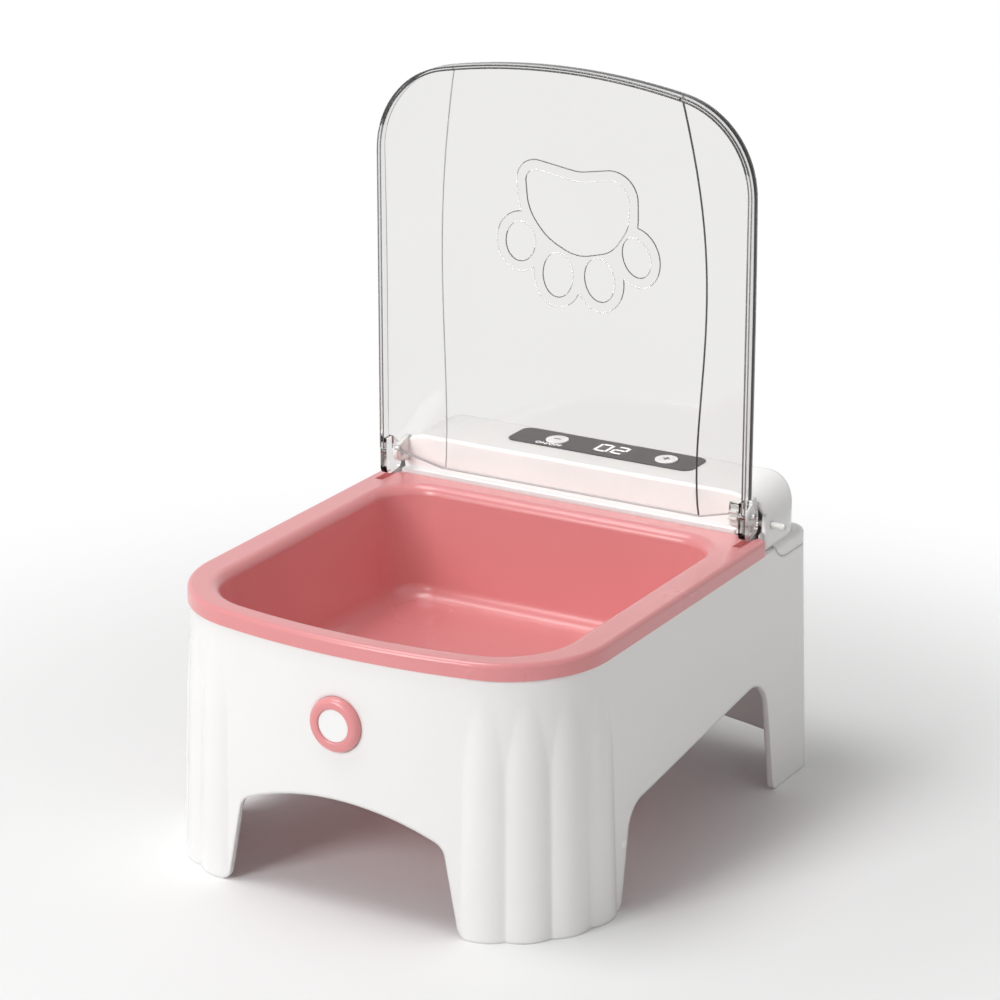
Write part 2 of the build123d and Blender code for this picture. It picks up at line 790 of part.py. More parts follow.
def spur_gear(teeth, turn, y, z):
    """A gear blank across X at the drive's place, with its bore."""
    with BuildPart() as gear:
        with BuildSketch(at_x(gear_inner)):
            with BuildLine(mode=Mode.PRIVATE) as rim_line:
                Polyline(*gear_outline(teeth, turn), close=True)
            with Locations((y, z)):
                add(make_face(rim_line.line, mode=Mode.PRIVATE))
                Circle(pin_radius + pilot_gap, mode=Mode.SUBTRACT)
        extrude(amount=gear_width)
    return gear


lid_gear = spur_gear(lid_gear_teeth, mesh_angle, hinge_y, hinge_z)
save(lid_gear, "lid_gear")
idler_turn = mesh_angle + 180 + 180 / idler_teeth
idler_gear = spur_gear(idler_teeth, idler_turn, idler_y, idler_z)
save(idler_gear, "idler_gear")
motor_pinion = spur_gear(pinion_teeth, mesh_angle + 180 + 180 / pinion_teeth, pinion_y, pinion_z)
save(motor_pinion, "motor_pinion")

# Idler's shaft, whose end shows at the right-hand side
with BuildPart() as idler_shaft:
    with BuildSketch(at_x(bracket_x - 1)):
        with Locations((idler_y, idler_z)):
            Circle(pin_radius)
    extrude(amount=shaft_end - bracket_x + 1)
    chamfer(idler_shaft.faces().sort_by(Axis.X)[-1].edges(), 0.4)
save(idler_shaft, "idler_shaft")

# Geared motor: gearbox block, can with flattened sides, and its shaft
with BuildPart() as gear_motor:
    with BuildSketch(at_x(bracket_x)):
        with Locations((pinion_y, pinion_z)):
            Rectangle(motor_thick, motor_width)
            Circle(pin_radius + fit_gap, mode=Mode.SUBTRACT)
    extrude(amount=-9)
    with BuildSketch(at_x(bracket_x - 9)):
        with Locations((pinion_y, pinion_z)):
            Circle(motor_width / 2)
            Rectangle(motor_thick, motor_width, mode=Mode.INTERSECT)
    extrude(amount=-(motor_length - 9))
    with BuildSketch(at_x(bracket_x - motor_length)):
        with Locations((pinion_y, pinion_z)):
            Circle(2.5)
    extrude(amount=-1.2)
save(gear_motor, "gear_motor")

with BuildPart() as motor_shaft:
    with BuildSketch(at_x(bracket_x - 8.5)):
        with Locations((pinion_y, pinion_z)):
            Circle(pin_radius)
    extrude(amount=gear_outer + 0.8 - bracket_x + 8.5)
save(motor_shaft, "motor_shaft")

with BuildPart() as motor_bracket:
    with BuildSketch(at_x(bracket_x)):
        with Locations((bracket_middle, (pinion_z - 9 + bracket_top) / 2)):
            Rectangle(pinion_y - idler_y + 15, bracket_top - pinion_z + 9)
        with Locations((idler_y, idler_z), (pinion_y, pinion_z)):
            Circle(pin_radius + fit_gap, mode=Mode.SUBTRACT)
    extrude(amount=bracket_plate)
    with BuildSketch(Plane.XY.offset(bracket_top - bracket_plate)):
        with Locations((bracket_x - bracket_foot / 2, bracket_middle)):
            Rectangle(bracket_foot, pinion_y - idler_y + 15)
        with Locations(*[(bracket_screw_x, y) for y in bracket_screw_y]):
            Circle(0.95, mode=Mode.SUBTRACT)
    extrude(amount=bracket_plate)
save(motor_bracket, "motor_bracket")


def screw(x, y, seat, length, radius, head_radius, head_height):
    """A screw that is driven upwards, with the upper face of its head at the seat."""
    with BuildPart() as piece:
        with BuildSketch(Plane.XY.offset(seat)):
            with Locations((x, y)):
                Circle(head_radius)
        extrude(amount=-head_height)
        with BuildSketch(Plane.XY.offset(seat)):
            with Locations((x, y)):
                Circle(radius)
        extrude(amount=length)
        with BuildSketch(Plane.XY.offset(seat - head_height)):
            with Locations((x, y)):
                Rectangle(head_radius * 1.3, 0.6)
                Rectangle(0.6, head_radius * 1.3)
        extrude(amount=head_height * 0.5, mode=Mode.SUBTRACT)
    return piece.part


with BuildPart() as bracket_screws:
    for y in bracket_screw_y:
        add(screw(bracket_screw_x, y, bracket_top - bracket_plate, bracket_plate + 2.6, 0.8, 1.6, 1.2))
save(bracket_screws, "bracket_screws")

# Control panel: film, two buttons, display, board and its switches
with BuildPart() as control_panel:
    with BuildSketch(Plane.XY.offset(box_top - panel_sink)):
        with Locations((film_x, panel_y)):
            RectangleRounded(panel_length, panel_width, panel_corner)
        with Locations((minus_x, panel_y), (plus_x, panel_y)):
            Circle(button_radius + button_gap, mode=Mode.SUBTRACT)
    extrude(amount=panel_film)
save(control_panel, "control_panel")


def button(x):
    """A round push button, held under the skin by its flange."""
    top = box_top - panel_sink + panel_film + button_proud
    with BuildPart() as cap:
        with BuildSketch(Plane.XY.offset(skin_under - 0.05)):
            with Locations((x, panel_y)):
                Circle(button_radius)
        extrude(amount=top - skin_under + 0.05)
        fillet(cap.faces().sort_by(Axis.Z)[-1].edges(), 0.4)
        with BuildSketch(Plane.XY.offset(skin_under - 0.05)):
            with Locations((x, panel_y)):
                Circle(button_radius + 1.3)
        extrude(amount=-button_flange)
    return cap


minus_button = button(minus_x)
save(minus_button, "minus_button")
plus_button = button(plus_x)
save(plus_button, "plus_button")

with BuildPart() as display_module:
    with BuildSketch(Plane.XY.offset(board_top)):
        with Locations((panel_x, panel_y)):
            Rectangle(display_length, display_width)
    extrude(amount=box_top - panel_sink - 0.05 - board_top)
save(display_module, "display_module")

with BuildPart() as control_board:
    with BuildSketch(Plane.XY.offset(board_top)):
        with Locations((panel_x, panel_y)):
            RectangleRounded(board_length, board_width, 1.5)
        with Locations(*[(panel_x + sx * 41, panel_y + sy * 8.5) for sx in (-1, 1) for sy in (-1, 1)]):
            Circle(1.1, mode=Mode.SUBTRACT)
    extrude(amount=-board_thick)
save(control_board, "control_board")

with BuildPart() as tact_switches:
    with BuildSketch(Plane.XY.offset(board_top)):
        with Locations((minus_x, panel_y), (plus_x, panel_y)):
            Rectangle(switch_size, switch_size)
    extrude(amount=switch_height - 0.6)
    with BuildSketch(Plane.XY.offset(board_top + switch_height - 0.6)):
        with Locations((minus_x, panel_y), (plus_x, panel_y)):
            Circle(1.7)
    extrude(amount=0.6)
save(tact_switches, "tact_switches")

with BuildPart() as board_screws:
    for side_x in (-1, 1):
        for side_y in (-1, 1):
            screw_x = panel_x + side_x * 41
            screw_y = panel_y + side_y * 8.5
            add(screw(screw_x, screw_y, board_top - board_thick, 5.0, 0.8, 1.6, 1.2))
save(board_screws, "board_screws")

# Motion sensor: ring, lens, board and clamp
with BuildPart() as sensor_ring:
    with BuildSketch(at_y(spot_y)):
        with Locations((0, sensor_height)):
            Circle(ring_radius)
            Circle(ring_bore, mode=Mode.SUBTRACT)
    extrude(amount=ring_proud + ring_seat)
    ring_face = sensor_ring.faces().filter_by(Axis.Y).sort_by(Axis.Y)[0]
    fillet(ring_face.inner_wires()[0].edges(), ring_inner_round)
    ring_face = sensor_ring.faces().filter_by(Axis.Y).sort_by(Axis.Y)[0]
    fillet(ring_face.outer_wire().edges(), ring_outer_round)
    with BuildSketch(at_y(spot_y + 7)):
        with Locations((0, sensor_height)):
            Circle(ring_sleeve)
            Circle(ring_bore, mode=Mode.SUBTRACT)
    extrude(amount=7)
save(sensor_ring, "sensor_ring")

lens_face = spot_y - ring_seat - ring_proud + lens_sink
lens_back = spot_y + sensor_eye_gap - 0.2
with BuildPart() as sensor_lens:
    with BuildSketch(at_y(lens_back)):
        with Locations((0, sensor_height)):
            Circle(ring_bore - 0.1)
    extrude(amount=lens_back - lens_face)
    fillet(sensor_lens.faces().sort_by(Axis.Y)[0].edges(), 0.3)
    with BuildSketch(at_y(lens_back)):
        with Locations((0, sensor_height)):
            Circle(ring_bore - 0.1 - lens_wall)
    extrude(amount=lens_back - lens_face - lens_wall, mode=Mode.SUBTRACT)
save(sensor_lens, "sensor_lens")

with BuildPart() as sensor_board:
    with BuildSketch(at_y(spot_y + 7 + board_thick)):
        with Locations((0, sensor_height)):
            Circle(sensor_board_radius)
    extrude(amount=board_thick)
    with BuildSketch(at_y(spot_y + 7)):
        with Locations((0, sensor_height)):
            Circle(4.2)
    extrude(amount=7 - sensor_eye_gap)
save(sensor_board, "sensor_board")

with BuildPart() as sensor_clamp:
    with BuildSketch(at_y(spot_y + 6.6)):
        with Locations((0, sensor_height)):
            Circle(ring_sleeve + 3.4)
            Circle(ring_sleeve + 0.05, mode=Mode.SUBTRACT)
    extrude(amount=3.2)
save(sensor_clamp, "sensor_clamp")

# Sensor cable, along the inside of the left-hand wall to the control board
board_under = board_top - board_thick
cable_corner = rim_corner_radius - cable_inset
cable_start = (-4.0, spot_y + 7 + board_thick + cable_radius + 0.25)
lead_x = cable_start[0] + corner_x
lead_y = cable_start[1] - corner_y
lead_turn = atan2(lead_y, lead_x) - acos(cable_corner / sqrt(lead_x**2 + lead_y**2))
lead_end = (-corner_x + cable_corner * cos(lead_turn), corner_y + cable_corner * sin(lead_turn))
middle_turn = (lead_turn - pi) / 2
corner_middle = (-corner_x + cable_corner * cos(middle_turn), corner_y + cable_corner * sin(middle_turn))
with BuildPart() as sensor_cable:
    with BuildLine() as cable_path:
        Line((*cable_start, cable_height), (*lead_end, cable_height))
        ThreePointArc(
            (*lead_end, cable_height), (*corner_middle, cable_height), (-cable_x, corner_y, cable_height)
        )
        FilletPolyline(
            (-cable_x, corner_y, cable_height),
            (-cable_x, wall_front + bay_wall + 6, cable_height),
            (-cable_x + 20, box_front + box_wall + 3, cable_height + 20),
            (-33.0, 101.5, cable_height + 26),
            (-33.0, 101.5, board_under),
            radius=(5.0, 8.0, 8.0),
        )
    with BuildSketch(Plane(origin=cable_path.line @ 0, z_dir=cable_path.line % 0)):
        Circle(cable_radius)
    sweep()
save(sensor_cable, "sensor_cable")

# Cover plate of the bay, with the battery door
with BuildPart() as bay_cover:
    plate_front = wall_front + 0.2
    plate_back = stand_back + grow_at(bay_floor) - stand_wall - cover_gap
    plate_half = rim_width / 2 + grow_at(plate_top) - stand_wall - cover_gap
    door_y = (plate_front + plate_back) / 2
    with BuildSketch(Plane.XY.offset(bay_floor)) as plate_plan:
        with Locations((0, door_y)):
            Rectangle(2 * plate_half, plate_back - plate_front)
        fillet(plate_plan.vertices().group_by(Axis.Y)[-1], stand_rear_corner - 1)
        with Locations((0, door_y)):
            Rectangle(door_length + 0.6, door_width + 0.6, mode=Mode.SUBTRACT)
        with Locations(*[(side * cover_screw_x, y) for side in (-1, 1) for y in cover_screw_y]):
            Circle(screw_radius + 0.25, mode=Mode.SUBTRACT)
    extrude(amount=cover_plate - 0.1)
    # Lip that the battery door rests against
    with BuildSketch(Plane.XY.offset(bay_floor + cover_plate - 0.1)):
        with Locations((0, door_y)):
            Rectangle(door_length + 5, door_width + 2.4)
            Rectangle(door_length - 6, door_width - 6, mode=Mode.SUBTRACT)
    extrude(amount=1.6)
    with Locations((door_length / 2 - 1.5, door_y, bay_floor)):
        Cylinder(0.82, 20, mode=Mode.SUBTRACT)
save(bay_cover, "bay_cover")

with BuildPart() as battery_door:
    with BuildSketch(Plane.XY.offset(bay_floor)):
        with Locations((0, door_y)):
            RectangleRounded(door_length, door_width, 1.0)
        with Locations((door_length / 2 - 1.5, door_y)):
            Circle(1.0, mode=Mode.SUBTRACT)
    extrude(amount=cover_plate - 0.15)
    # Grip ribs
    with BuildSketch(Plane.XY.offset(bay_floor)):
        with GridLocations(3.0, 0, 5, 1):
            with Locations((-door_length / 2 + 14, door_y)):
                Rectangle(1.2, 12)
    extrude(amount=-0.6)
save(battery_door, "battery_door")

with BuildPart() as door_screw:
    add(screw(door_length / 2 - 1.5, door_y, bay_floor, 3.6, 0.8, 1.6, 1.0))
save(door_screw, "door_screw")

with BuildPart() as bay_screws:
    for side in (-1, 1):
        for y in cover_screw_y:
            add(screw(side * cover_screw_x, y, bay_floor, 11.0, screw_radius, screw_head_radius, screw_head))
save(bay_screws, "bay_screws")

with BuildPart() as housing_screws:
    for side in (-1, 1):
        for y in post_y:
            seat = seam_height - column_floor
            add(screw(side * post_x, y, seat, 17.0, screw_radius, screw_head_radius, screw_head))
save(housing_screws, "housing_screws")

# Battery: an open tray with end walls, and one round cell lying in it
holder_floor = bay_floor + cover_plate + 1.6
cell_z = holder_floor + 1.5 + cell_radius
with BuildPart() as battery_holder:
    with BuildSketch(Plane.XY.offset(holder_floor)):
        with Locations((0, door_y)):
            Rectangle(cell_length + 8, 2 * cell_radius + 4)
    extrude(amount=cell_radius + 3)
    with BuildSketch(Plane.XY.offset(holder_floor + 1.5)):
        with Locations((0, door_y)):
            Rectangle(cell_length + 3, 2 * cell_radius + 0.6)
    extrude(amount=cell_radius + 5, mode=Mode.SUBTRACT)
save(battery_holder, "battery_holder")

with BuildPart() as battery_cell:
    with BuildSketch(at_x(-cell_length / 2)):
        with Locations((door_y, cell_z + 0.02)):
            Circle(cell_radius)
    extrude(amount=cell_length)
    with BuildSketch(at_x(cell_length / 2)):
        with Locations((door_y, cell_z + 0.02)):
            Circle(3.2)
    extrude(amount=1.2)
save(battery_cell, "battery_cell")

# Charging socket, on its own small board behind the rear wall
socket_face = stand_back + grow_at(port_z) - stand_wall + 1.4
with BuildPart() as charge_socket:
    with BuildSketch(at_y(socket_face)):
        with Locations((0, port_z)):
            RectangleRounded(port_width - 0.2, port_height - 0.2, (port_height - 0.2) / 2 - 0.01)
            RectangleRounded(
                port_width - 0.8,
                port_height - 0.8,
                (port_height - 0.8) / 2 - 0.01,
                mode=Mode.SUBTRACT,
            )
    extrude(amount=7.0)
    with BuildSketch(at_y(socket_face - 5.5)):
        with Locations((0, port_z)):
            RectangleRounded(port_width - 0.5, port_height - 0.5, (port_height - 0.5) / 2 - 0.01)
    extrude(amount=1.5)
    with BuildSketch(at_y(socket_face - 0.8)):
        with Locations((0, port_z)):
            Rectangle(6.6, 0.7)
    extrude(amount=5.5)
save(charge_socket, "charge_socket")

with BuildPart() as charge_board:
    with BuildSketch(Plane.XY.offset(port_z - port_height / 2 + 0.1)):
        with Locations((0, socket_face - stand_wall - 4.2)):
            Rectangle(22.0, 7.0)
    extrude(amount=-board_thick)
save(charge_board, "charge_board")
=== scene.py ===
# %% [markdown]
# # A motion sensor pet bowl
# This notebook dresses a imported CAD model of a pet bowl: a pink food tray in a white legged stand,
# under a clear lid that a small motor lifts when the sensor on the front sees an animal. The CAD
# model already has the true shapes, so most of the work here is light, finishes and the small
# raised marks. Everything is in metres, with the floor at zero, and the animal eats from the -Y
# side.

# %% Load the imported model
import json
from math import cos, pi, radians, sin

import bmesh
import bpy
from mathutils import Matrix, Vector


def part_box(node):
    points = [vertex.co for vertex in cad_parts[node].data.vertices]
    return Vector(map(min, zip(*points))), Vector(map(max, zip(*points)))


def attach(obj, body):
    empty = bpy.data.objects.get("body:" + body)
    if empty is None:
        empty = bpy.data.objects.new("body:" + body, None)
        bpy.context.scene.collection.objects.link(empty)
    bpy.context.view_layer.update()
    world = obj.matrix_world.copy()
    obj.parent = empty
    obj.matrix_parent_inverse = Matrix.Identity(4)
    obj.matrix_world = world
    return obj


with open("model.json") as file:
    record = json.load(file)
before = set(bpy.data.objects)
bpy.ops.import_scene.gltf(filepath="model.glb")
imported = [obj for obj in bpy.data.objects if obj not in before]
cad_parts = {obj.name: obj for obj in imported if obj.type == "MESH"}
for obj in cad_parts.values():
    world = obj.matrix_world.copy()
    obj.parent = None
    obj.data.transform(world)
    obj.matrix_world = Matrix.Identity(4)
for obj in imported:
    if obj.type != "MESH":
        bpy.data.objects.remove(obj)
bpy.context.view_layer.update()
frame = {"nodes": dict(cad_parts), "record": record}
nodes = frame["nodes"]
print("nodes:", len(nodes))

# %% [markdown]
# ## Camera
# A product shot is taken with a long lens from far away, so that parallel edges stay nearly
# parallel. The camera looks down at the bowl from the front right. It is placed on a sphere round a
# point in the middle of the bowl, by a turn and a height in degrees, which is easier to reason
# about than three coordinates. Colours are shown as written, with the Standard view, so that a
# finish can be judged by its numbers.

# %% Place the camera
aim = Vector((0.02075, -0.0226, 0.15756))
camera_turn = radians(30.17)
camera_height = radians(19.12)
camera_distance = 1.59942
towards_camera = Vector((
    sin(camera_turn) * cos(camera_height),
    -cos(camera_turn) * cos(camera_height),
    sin(camera_height),
))
camera_data = bpy.data.cameras.new("camera")
camera_data.sensor_width = 36.0
camera_data.lens = 134.48
camera = bpy.data.objects.new("camera", camera_data)
camera.location = aim + towards_camera * camera_distance
camera.rotation_euler = towards_camera.to_track_quat("Z", "Y").to_euler()
bpy.context.scene.collection.objects.link(camera)
bpy.context.scene.camera = camera
bpy.context.scene.view_settings.view_transform = "Standard"
print("camera at", [round(value, 3) for value in camera.location])

# %% [markdown]
# ## Room
# The bowl stands on a pale floor in a white room. The room's light is soft and even. What the
# camera sees directly, in gloss or through the clear lid is plain white, and that is set with Light
# Path, so that the background can be white without pouring more light on the bowl. Both the world
# and the floor need that switch, so it is a helper that adds it to any node graph.


# %% Helpers: links by name, and a switch for what is looked at
def wire(tree, output_node, output, input_node, target):
    """Link one node's output to another node's input."""
    tree.links.new(output_node.outputs[output], input_node.inputs[target])


def seen_plainly(tree):
    """One where a ray comes from the camera, a gloss or the clear lid, and zero elsewhere."""
    path = tree.nodes.new("ShaderNodeLightPath")
    glossy = tree.nodes.new("ShaderNodeMath")
    glossy.operation = "MAXIMUM"
    wire(tree, path, "Is Camera Ray", glossy, 0)
    wire(tree, path, "Is Glossy Ray", glossy, 1)
    both = tree.nodes.new("ShaderNodeMath")
    both.operation = "MAXIMUM"
    wire(tree, glossy, 0, both, 0)
    wire(tree, path, "Is Transmission Ray", both, 1)
    return both


# %% World: white to look at, soft to be lit by
white = (1.0, 1.0, 1.0, 1)
world = bpy.data.worlds.new("white_room")
bpy.context.scene.world = world
world.use_nodes = True
sky = world.node_tree
sky.nodes.clear()
soft_light = sky.nodes.new("ShaderNodeBackground")
soft_light.inputs["Color"].default_value = (0.98, 0.97, 0.96, 1)
soft_light.inputs["Strength"].default_value = 0.36
plain_white = sky.nodes.new("ShaderNodeBackground")
plain_white.inputs["Color"].default_value = white
plain_white.inputs["Strength"].default_value = 1.0
choose = sky.nodes.new("ShaderNodeMixShader")
sky_output = sky.nodes.new("ShaderNodeOutputWorld")
wire(sky, seen_plainly(sky), 0, choose, "Fac")
wire(sky, soft_light, "Background", choose, 1)
wire(sky, plain_white, "Background", choose, 2)
wire(sky, choose, "Shader", sky_output, "Surface")
print("world:", world.name)

# %% [markdown]
# ## Floor
# Near the bowl the floor is a plain pale surface that takes the soft shadow. Further out it fades to
# plain white, so that it meets the white background without an edge. The fade follows the distance
# from the bowl on the floor, and only rays that the camera sees, straight or in gloss, find it, so
# the bowl is lit as before.

# %% Floor: a large square
floor_half = 6.0
floor_shape = bmesh.new()
bmesh.ops.create_grid(floor_shape, x_segments=1, y_segments=1, size=floor_half)
floor_mesh = bpy.data.meshes.new("floor")
floor_shape.to_mesh(floor_mesh)
floor_shape.free()
floor = bpy.data.objects.new("floor", floor_mesh)
bpy.context.scene.collection.objects.link(floor)
print("floor:", floor.dimensions[0], "m wide")

# %% Floor: pale paint that fades to white
fade_start = 0.16
fade_end = 0.48
floor_paint = bpy.data.materials.new("pale_floor")
floor_paint.use_nodes = True
floor_tree = floor_paint.node_tree
floor_face = floor_tree.nodes["Principled BSDF"]
floor_face.inputs["Base Color"].default_value = (0.93, 0.93, 0.93, 1)
floor_face.inputs["Roughness"].default_value = 0.7
floor_face.inputs["Specular IOR Level"].default_value = 0.2
floor_place = floor_tree.nodes.new("ShaderNodeTexCoord")
from_middle = floor_tree.nodes.new("ShaderNodeVectorMath")
from_middle.operation = "LENGTH"
wire(floor_tree, floor_place, "Object", from_middle, 0)
fade = floor_tree.nodes.new("ShaderNodeMapRange")
fade.interpolation_type = "SMOOTHSTEP"
fade.inputs["From Min"].default_value = fade_start
fade.inputs["From Max"].default_value = fade_end
wire(floor_tree, from_middle, "Value", fade, "Value")
fade_seen = floor_tree.nodes.new("ShaderNodeMath")
fade_seen.operation = "MULTIPLY"
wire(floor_tree, fade, "Result", fade_seen, 0)
wire(floor_tree, seen_plainly(floor_tree), 0, fade_seen, 1)
far_white = floor_tree.nodes.new("ShaderNodeEmission")
far_white.inputs["Color"].default_value = white
floor_mix = floor_tree.nodes.new("ShaderNodeMixShader")
wire(floor_tree, fade_seen, 0, floor_mix, "Fac")
wire(floor_tree, floor_face, "BSDF", floor_mix, 1)
wire(floor_tree, far_white, "Emission", floor_mix, 2)
wire(floor_tree, floor_mix, "Shader", floor_tree.nodes["Material Output"], "Surface")
floor_mesh.materials.append(floor_paint)
print("floor paint fades from", fade_start, "to", fade_end, "m")

# %% [markdown]
# ## Lamps
# Three area lamps make the soft product light. The key lamp in front and to the left leaves the
# right-hand side in a grey shade and shows the flutes of the front corner. A weak one from the
# right opens that shade. One high up to the left lights the tray and the lid, and its reflection is
# the pale streak along the rear of the tray. An area lamp's size sets how soft its shadow is, and
# its power is shared over that size.


# %% Lamps
def lamp(name, place, look_at, size, power):
    """Add a square area lamp that faces a point."""
    data = bpy.data.lights.new(name, "AREA")
    data.size = size
    data.energy = power
    light = bpy.data.objects.new(name, data)
    light.location = place
    facing = Vector(place) - Vector(look_at)
    light.rotation_euler = facing.to_track_quat("Z", "Y").to_euler()
    bpy.context.scene.collection.objects.link(light)
    print("lamp:", name, power, "W")


lamp("key_lamp", place=(-0.6, -1.8, 0.95), look_at=(0, 0, 0.12), size=0.7, power=17.0)
lamp("side_lamp", place=(1.7, -0.5, 0.9), look_at=(0, 0, 0.1), size=0.8, power=1.2)
lamp("top_lamp", place=(-0.5, -0.32, 1.75), look_at=(0, 0, 0.1), size=0.8, power=13.0)

# %% [markdown]
# ## Finishes
# A moulded plastic is never one flat colour. Its gloss changes a little where the mould was
# polished, its surface has a faint orange peel, and its colour drifts slightly across a thick wall.
# Each finish here starts from the same graph: noise on object coordinates drives a small colour
# change, a small roughness change and a very fine bump. What is the same all over the surface is
# set on the shader's own sockets.


# %% Helper: a moulded finish
def moulded(name, colour, shade, gloss, peel_size=900.0, peel=0.02, edge_round=0.0):
    """A plastic whose colour drifts between colour and shade, with gloss = (least, most) roughness.

    Where edge_round is given, sharp edges are shaded as if they had that radius.
    """
    material = bpy.data.materials.new(name)
    material.use_nodes = True
    tree = material.node_tree
    face = tree.nodes["Principled BSDF"]
    place = tree.nodes.new("ShaderNodeTexCoord")
    drift = tree.nodes.new("ShaderNodeTexNoise")
    drift.inputs["Scale"].default_value = 14.0
    drift.inputs["Detail"].default_value = 3.0
    wire(tree, place, "Object", drift, "Vector")
    tint = tree.nodes.new("ShaderNodeValToRGB")
    tint.color_ramp.interpolation = "EASE"
    for stop, position, stop_colour in zip(tint.color_ramp.elements, (0.2, 0.8), (shade, colour)):
        stop.position = position
        stop.color = (*stop_colour, 1)
    wire(tree, drift, "Fac", tint, "Fac")
    wire(tree, tint, "Color", face, "Base Color")
    polish = tree.nodes.new("ShaderNodeMapRange")
    polish.inputs["To Min"].default_value = gloss[0]
    polish.inputs["To Max"].default_value = gloss[1]
    wire(tree, drift, "Fac", polish, "Value")
    wire(tree, polish, "Result", face, "Roughness")
    grain = tree.nodes.new("ShaderNodeTexNoise")
    grain.inputs["Scale"].default_value = peel_size
    grain.inputs["Detail"].default_value = 2.0
    wire(tree, place, "Object", grain, "Vector")
    bump = tree.nodes.new("ShaderNodeBump")
    bump.inputs["Strength"].default_value = peel
    bump.inputs["Distance"].default_value = 0.0002
    wire(tree, grain, "Fac", bump, "Height")
    wire(tree, bump, "Normal", face, "Normal")
    if edge_round:
        soft_edge = tree.nodes.new("ShaderNodeBevel")
        soft_edge.samples = 4
        soft_edge.inputs["Radius"].default_value = edge_round
        wire(tree, soft_edge, "Normal", bump, "Normal")
    print("finish:", name)
    return material


def set_on_shader(material, **values):
    """Set sockets of a finish's main shader, such as Coat_Weight=0.2."""
    sockets = material.node_tree.nodes["Principled BSDF"].inputs
    for socket, value in values.items():
        sockets[socket.replace("_", " ")].default_value = value


# %% [markdown]
# The stand and the rear box are white moulded shells. Their flutes and arches meet in soft valleys
# that a real mould leaves by itself. Rounding each of them in the mesh would be slow and would fail
# where the flutes run out, so the shader's Bevel node only softens how those edges catch the light,
# by less than the wall's thickness.

# %% White shell of the stand and the rear box
white_shell = moulded(
    "white_shell", (0.87, 0.867, 0.86), (0.85, 0.847, 0.84), gloss=(0.2, 0.3), edge_round=0.0022
)
set_on_shader(white_shell, Coat_Weight=0.15, Coat_Roughness=0.1)

# %% [markdown]
# The tray and the sensor's ring are the same pink plastic, a little glossier than the stand. A
# clear coat over the colour gives the wide soft highlight of a polished mould, while the base stays
# fairly matt.

# %% Pink tray and sensor ring
pink_plastic = moulded("pink_tray", (0.76, 0.28, 0.285), (0.74, 0.262, 0.27), gloss=(0.24, 0.34))
set_on_shader(pink_plastic, Coat_Weight=0.35, Coat_Roughness=0.2)

# %% [markdown]
# The lid is clear, faintly smoky plastic. Transmission with an almost smooth surface makes it
# clear. Its grey is split in two: part of it is the tint of the surface, and part is absorption in
# the volume, which grows with the thickness, so that the lugs and the borders look denser than the
# sheet.

# %% Clear lid
clear_plastic = moulded(
    "clear_lid",
    (0.897, 0.893, 0.886),
    (0.887, 0.883, 0.876),
    gloss=(0.0, 0.015),
    peel_size=500.0,
    peel=0.003,
)
set_on_shader(clear_plastic, Transmission_Weight=1.0, IOR=1.3)
lid_tree = clear_plastic.node_tree
smoke = lid_tree.nodes.new("ShaderNodeVolumeAbsorption")
smoke.inputs["Color"].default_value = (0.06, 0.03, 0.0, 1)
smoke.inputs["Density"].default_value = 30.0
wire(lid_tree, smoke, "Volume", lid_tree.nodes["Material Output"], "Volume")

# %% [markdown]
# The edges of the clear sheet show as thin lines of light and shade, and the beads paint these in
# grey. On the real lid they run from nearly black at the top of the rim to bright where the paw's
# walls look down, so there are five greys for them. The darker greys are painted shade and the
# brightest is a painted highlight.

# %% Painted greys for the lines of the lid
painted_dark_edge = moulded("painted_dark_edge", (0.08, 0.08, 0.082), (0.06, 0.06, 0.062), gloss=(0.1, 0.2))
faint_edge = moulded("faint_edge", (0.5, 0.5, 0.5), (0.45, 0.45, 0.45), gloss=(0.15, 0.25))
side_edge = moulded("side_edge", (0.24, 0.24, 0.24), (0.2, 0.2, 0.2), gloss=(0.15, 0.25))
shaded_edge = moulded("shaded_edge", (0.17, 0.17, 0.17), (0.14, 0.14, 0.14), gloss=(0.15, 0.25))
painted_highlight_edge = moulded("painted_highlight_edge", (0.95, 0.95, 0.95), (0.92, 0.92, 0.92), gloss=(0.1, 0.2))

# %% [markdown]
# The control panel is a dark satin film, and the buttons are white. The lens over the sensor is
# milky and scatters light inside, which a faint emission stands for, because real scattering in so
# thin a cap costs far more time than it shows.

# %% Panel film, lens and buttons
panel_film = moulded("panel_film", (0.028, 0.028, 0.03), (0.022, 0.022, 0.024), gloss=(0.2, 0.3))
milky_lens = moulded("milky_lens", (0.88, 0.88, 0.88), (0.86, 0.86, 0.86), gloss=(0.25, 0.35))
set_on_shader(milky_lens, Emission_Color=white, Emission_Strength=0.03)
button_white = moulded("button_white", (0.92, 0.92, 0.92), (0.9, 0.9, 0.9), gloss=(0.3, 0.4))

# %% [markdown]
# What is inside shows only through gaps or from below: grey works, white gears, green boards, a
# black lead, the wrap of the battery and plain steel. They get the same care in little: a colour, a
# gloss and a grain each.

